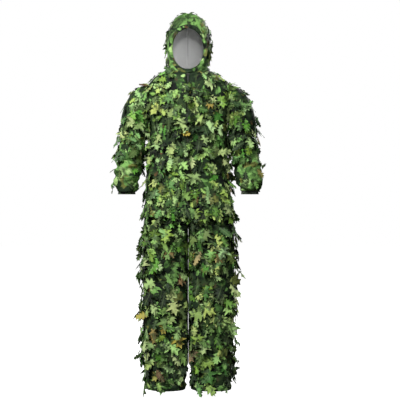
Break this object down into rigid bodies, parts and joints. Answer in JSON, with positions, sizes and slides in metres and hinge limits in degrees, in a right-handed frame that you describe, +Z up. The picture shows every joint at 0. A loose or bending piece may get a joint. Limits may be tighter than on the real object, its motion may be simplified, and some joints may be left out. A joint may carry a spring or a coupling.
{
  "type": "ghillie suit",
  "caption": "Leafy camouflage suit for wear outdoors: hooded zip-front jacket with elastic cuffs over straight trousers.",
  "frame": {"origin": "centre of the top of the trouser waistband, on the wearer's middle", "axes": "+Z up along the wearer, the front faces -Y, +X is the wearer's left"},
  "size_m": [0.7156, 0.3035, 1.7239],
  "materials": {
    "printed_cloth": "matt woven print in forest camouflage",
    "leaf_cloth": "matt die-cut woven leaves with a slight sheen",
    "hem_cloth": "matt woven print, doubled and stitched",
    "cuff_knit": "matt gathered elastic knit",
    "elastic": "ribbed woven elastic",
    "zip_tape": "matt woven tape with a nylon coil",
    "zip_plastic": "satin moulded plastic",
    "zip_metal": "dark enamelled metal with worn edges"
  },
  "bodies": {
    "trousers": {"seat_front": "printed_cloth", "seat_back": "printed_cloth", "waistband_casing": "hem_cloth", "waist_elastic": "elastic", "left_hip_fold": "printed_cloth", "right_hip_fold": "printed_cloth"},
    "jacket": {"front_panel_left": "printed_cloth", "front_panel_right": "printed_cloth", "back_panel": "printed_cloth", "jacket_hem_band": "hem_cloth", "zip_tape_left": "zip_tape", "zip_tape_right": "zip_tape", "zip_end_box": "zip_plastic", "hang_loop": "hem_cloth", "chest_leaves": "leaf_cloth", "back_leaves": "leaf_cloth", "left_shoulder_fold": "printed_cloth", "right_shoulder_fold": "printed_cloth", "neck_fold": "printed_cloth"},
    "hood": {"hood_left": "printed_cloth", "hood_right": "printed_cloth", "hood_rim": "hem_cloth", "hood_leaves": "leaf_cloth"},
    "zip_slider": {"zip_slider": "zip_metal"},
    "zip_pull": {"zip_pull": "zip_plastic"},
    "left_thigh": {"left_thigh_front": "printed_cloth", "left_thigh_back": "printed_cloth", "left_thigh_leaves": "leaf_cloth", "left_knee_fold": "printed_cloth"},
    "left_shin": {"left_shin_front": "printed_cloth", "left_shin_back": "printed_cloth", "left_leg_hem": "hem_cloth", "left_shin_leaves": "leaf_cloth"},
    "left_upper_arm": {"left_upper_sleeve": "printed_cloth", "left_upper_sleeve_leaves": "leaf_cloth", "left_elbow_fold": "printed_cloth"},
    "left_forearm": {"left_forearm_sleeve": "printed_cloth", "left_cuff": "cuff_knit", "left_forearm_leaves": "leaf_cloth"},
    "right_thigh": {"right_thigh_front": "printed_cloth", "right_thigh_back": "printed_cloth", "right_thigh_leaves": "leaf_cloth", "right_knee_fold": "printed_cloth"},
    "right_shin": {"right_shin_front": "printed_cloth", "right_shin_back": "printed_cloth", "right_leg_hem": "hem_cloth", "right_shin_leaves": "leaf_cloth"},
    "right_upper_arm": {"right_upper_sleeve": "printed_cloth", "right_upper_sleeve_leaves": "leaf_cloth", "right_elbow_fold": "printed_cloth"},
    "right_forearm": {"right_forearm_sleeve": "printed_cloth", "right_cuff": "cuff_knit", "right_forearm_leaves": "leaf_cloth"}
  },
  "joints": [
    {"name": "jacket_lift", "type": "slide", "parent": "trousers", "child": "jacket", "axis": [0, 0, 1], "range_m": [0, 0.35]},
    {"name": "hood_fold_back", "type": "hinge", "parent": "jacket", "child": "hood", "pos_m": [0, 0.075, 0.505], "axis": [-1, 0, 0], "range_deg": [0, 75], "deforming": ["neck_fold"]},
    {"name": "left_shoulder", "type": "hinge", "parent": "jacket", "child": "left_upper_arm", "pos_m": [0.19, 0, 0.33], "axis": [0, -1, 0], "range_deg": [0, 80], "deforming": ["left_shoulder_fold"]},
    {"name": "left_elbow", "type": "hinge", "parent": "left_upper_arm", "child": "left_forearm", "pos_m": [0.263, 0, 0.13], "axis": [-1, 0, 0], "range_deg": [0, 90], "deforming": ["left_elbow_fold"]},
    {"name": "left_hip", "type": "hinge", "parent": "trousers", "child": "left_thigh", "pos_m": [0.11, 0, -0.17], "axis": [-1, 0, 0], "range_deg": [-15, 45], "deforming": ["left_hip_fold"]},
    {"name": "left_knee", "type": "hinge", "parent": "left_thigh", "child": "left_shin", "pos_m": [0.111, 0, -0.5], "axis": [1, 0, 0], "range_deg": [0, 90], "deforming": ["left_knee_fold"]},
    {"name": "right_shoulder", "type": "hinge", "parent": "jacket", "child": "right_upper_arm", "pos_m": [-0.19, 0, 0.33], "axis": [0, 1, 0], "range_deg": [0, 80], "deforming": ["right_shoulder_fold"]},
    {"name": "right_elbow", "type": "hinge", "parent": "right_upper_arm", "child": "right_forearm", "pos_m": [-0.263, 0, 0.13], "axis": [-1, 0, 0], "range_deg": [0, 90], "deforming": ["right_elbow_fold"]},
    {"name": "right_hip", "type": "hinge", "parent": "trousers", "child": "right_thigh", "pos_m": [-0.11, 0, -0.17], "axis": [-1, 0, 0], "range_deg": [-15, 45], "deforming": ["right_hip_fold"]},
    {"name": "right_knee", "type": "hinge", "parent": "right_thigh", "child": "right_shin", "pos_m": [-0.111, 0, -0.5], "axis": [1, 0, 0], "range_deg": [0, 90], "deforming": ["right_knee_fold"]},
    {"name": "zip_run", "type": "slide", "parent": "jacket", "child": "zip_slider", "axis": [0, -0.0538, -0.9986], "range_m": [0, 0.56]},
    {"name": "zip_pull_swing", "type": "hinge", "parent": "zip_slider", "child": "zip_pull", "pos_m": [0, -0.10793, 0.47041], "axis": [-1, 0, 0], "range_deg": [0, 110]}
  ]
}
